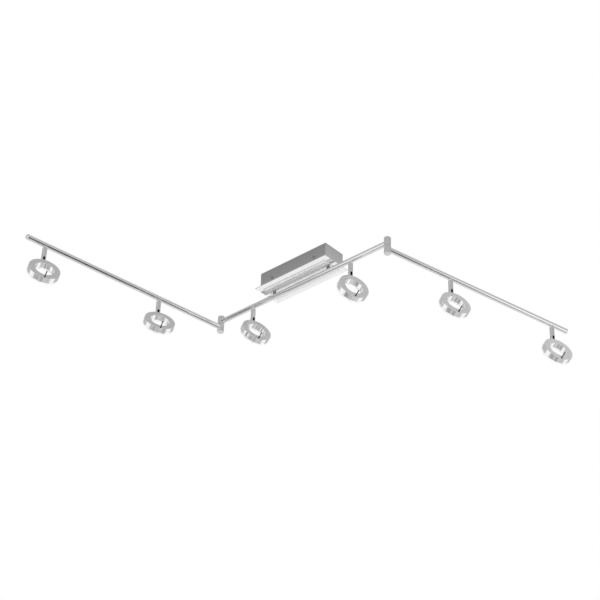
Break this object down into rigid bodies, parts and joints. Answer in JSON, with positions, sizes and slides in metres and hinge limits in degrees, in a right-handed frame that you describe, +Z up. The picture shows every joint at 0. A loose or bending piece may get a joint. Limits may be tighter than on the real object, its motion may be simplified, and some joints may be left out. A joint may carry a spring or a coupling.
{
  "type": "ceiling spot bar",
  "caption": "Ceiling light with a canopy, a middle rail, folding end rails and ring-shaped LED spots that swivel and tilt.",
  "frame": {"origin": "centre of the ceiling face, midway between the two ceiling screws", "axes": "+Z up into the ceiling, +X along the middle rail; the fixture hangs towards -Z"},
  "size_m": [0.7183, 1.0468, 0.1851],
  "materials": {
    "satin_nickel": "satin nickel plate",
    "polished_chrome": "polished chrome plate",
    "ring_metal": "satin, fine turned grain",
    "opal_acrylic": "opal diffuser",
    "zinc_steel": "zinc plated sheet",
    "screw_steel": "nickel plated",
    "dark_steel": "dark polished",
    "led_board": "white solder mask on a metal core",
    "driver_plastic": "moulded case",
    "terminal_plastic": "natural nylon",
    "washer_nylon": "black nylon",
    "rubber": "soft black rubber"
  },
  "bodies": {
    "canopy": {"ceiling_bracket": "zinc_steel", "cable_grommet": "rubber", "canopy_shell": "satin_nickel", "side_screws": "screw_steel", "cover_plate": "polished_chrome", "trim_panel": "polished_chrome", "terminal_block": "terminal_plastic", "led_driver": "driver_plastic", "posts": "polished_chrome", "post_nuts": "screw_steel", "middle_rail": "polished_chrome", "middle_rail_collars": "satin_nickel", "left_barrel_upper": "satin_nickel", "right_barrel_upper": "satin_nickel", "pivot_pins": "screw_steel", "barrel_washers": "washer_nylon"},
    "left_arm": {"left_rail": "polished_chrome", "left_rail_cap": "polished_chrome", "left_rail_collars": "satin_nickel", "left_barrel_lower": "satin_nickel"},
    "right_arm": {"right_rail": "polished_chrome", "right_rail_cap": "polished_chrome", "right_rail_collars": "satin_nickel", "right_barrel_lower": "satin_nickel"},
    "stem_1": {"stem_1": "satin_nickel", "tilt_screw_1": "screw_steel"},
    "head_1": {"ring_housing_1": "ring_metal", "led_board_1": "led_board", "diffuser_1": "opal_acrylic", "aiming_peg_1": "dark_steel"},
    "stem_2": {"stem_2": "satin_nickel", "tilt_screw_2": "screw_steel"},
    "head_2": {"ring_housing_2": "ring_metal", "led_board_2": "led_board", "diffuser_2": "opal_acrylic", "aiming_peg_2": "dark_steel"},
    "stem_3": {"stem_3": "satin_nickel", "tilt_screw_3": "screw_steel"},
    "head_3": {"ring_housing_3": "ring_metal", "led_board_3": "led_board", "diffuser_3": "opal_acrylic", "aiming_peg_3": "dark_steel"},
    "stem_4": {"stem_4": "satin_nickel", "tilt_screw_4": "screw_steel"},
    "head_4": {"ring_housing_4": "ring_metal", "led_board_4": "led_board", "diffuser_4": "opal_acrylic", "aiming_peg_4": "dark_steel"},
    "stem_5": {"stem_5": "satin_nickel", "tilt_screw_5": "screw_steel"},
    "head_5": {"ring_housing_5": "ring_metal", "led_board_5": "led_board", "diffuser_5": "opal_acrylic", "aiming_peg_5": "dark_steel"},
    "stem_6": {"stem_6": "satin_nickel", "tilt_screw_6": "screw_steel"},
    "head_6": {"ring_housing_6": "ring_metal", "led_board_6": "led_board", "diffuser_6": "opal_acrylic", "aiming_peg_6": "dark_steel"}
  },
  "joints": [
    {"name": "left_arm_swing", "type": "hinge", "parent": "canopy", "child": "left_arm", "pos_m": [-0.249, 0, -0.06125], "axis": [0, 0, 1], "range_deg": [-202.4, 37.6]},
    {"name": "right_arm_swing", "type": "hinge", "parent": "canopy", "child": "right_arm", "pos_m": [0.249, 0, -0.06125], "axis": [0, 0, 1], "range_deg": [-197.8, 42.2]},
    {"name": "stem_1_swivel", "type": "hinge", "parent": "left_arm", "child": "stem_1", "pos_m": [-0.31288, -0.47876, -0.081], "axis": [0, 0, 1], "range_deg": [-175, 175]},
    {"name": "head_1_tilt", "type": "hinge", "parent": "stem_1", "child": "head_1", "pos_m": [-0.31288, -0.47876, -0.106], "axis": [-0.3907, -0.9205, 0], "range_deg": [-113.4, 66.6]},
    {"name": "stem_2_swivel", "type": "hinge", "parent": "left_arm", "child": "stem_2", "pos_m": [-0.27254, -0.17644, -0.081], "axis": [0, 0, 1], "range_deg": [-175, 175]},
    {"name": "head_2_tilt", "type": "hinge", "parent": "stem_2", "child": "head_2", "pos_m": [-0.27254, -0.17644, -0.106], "axis": [-0.4648, -0.8854, 0], "range_deg": [-118, 62]},
    {"name": "stem_3_swivel", "type": "hinge", "parent": "canopy", "child": "stem_3", "pos_m": [-0.1454, 0, -0.0655], "axis": [0, 0, 1], "range_deg": [-175, 175]},
    {"name": "head_3_tilt", "type": "hinge", "parent": "stem_3", "child": "head_3", "pos_m": [-0.1454, 0, -0.0905], "axis": [-0.3387, -0.9409, 0], "range_deg": [-113.4, 66.6]},
    {"name": "stem_4_swivel", "type": "hinge", "parent": "canopy", "child": "stem_4", "pos_m": [0.1454, 0, -0.0655], "axis": [0, 0, 1], "range_deg": [-175, 175]},
    {"name": "head_4_tilt", "type": "hinge", "parent": "stem_4", "child": "head_4", "pos_m": [0.1454, 0, -0.0905], "axis": [-0.3939, -0.9191, 0], "range_deg": [-106.1, 73.9]},
    {"name": "stem_5_swivel", "type": "hinge", "parent": "right_arm", "child": "stem_5", "pos_m": [0.28662, 0.17398, -0.081], "axis": [0, 0, 1], "range_deg": [-175, 175]},
    {"name": "head_5_tilt", "type": "hinge", "parent": "stem_5", "child": "head_5", "pos_m": [0.28662, 0.17398, -0.106], "axis": [-0.4163, -0.9092, 0], "range_deg": [-110.1, 69.9]},
    {"name": "stem_6_swivel", "type": "hinge", "parent": "right_arm", "child": "stem_6", "pos_m": [0.35107, 0.47209, -0.081], "axis": [0, 0, 1], "range_deg": [-175, 175]},
    {"name": "head_6_tilt", "type": "hinge", "parent": "stem_6", "child": "head_6", "pos_m": [0.35107, 0.47209, -0.106], "axis": [-0.4226, -0.9063, 0], "range_deg": [-109.9, 70.1]}
  ]
}
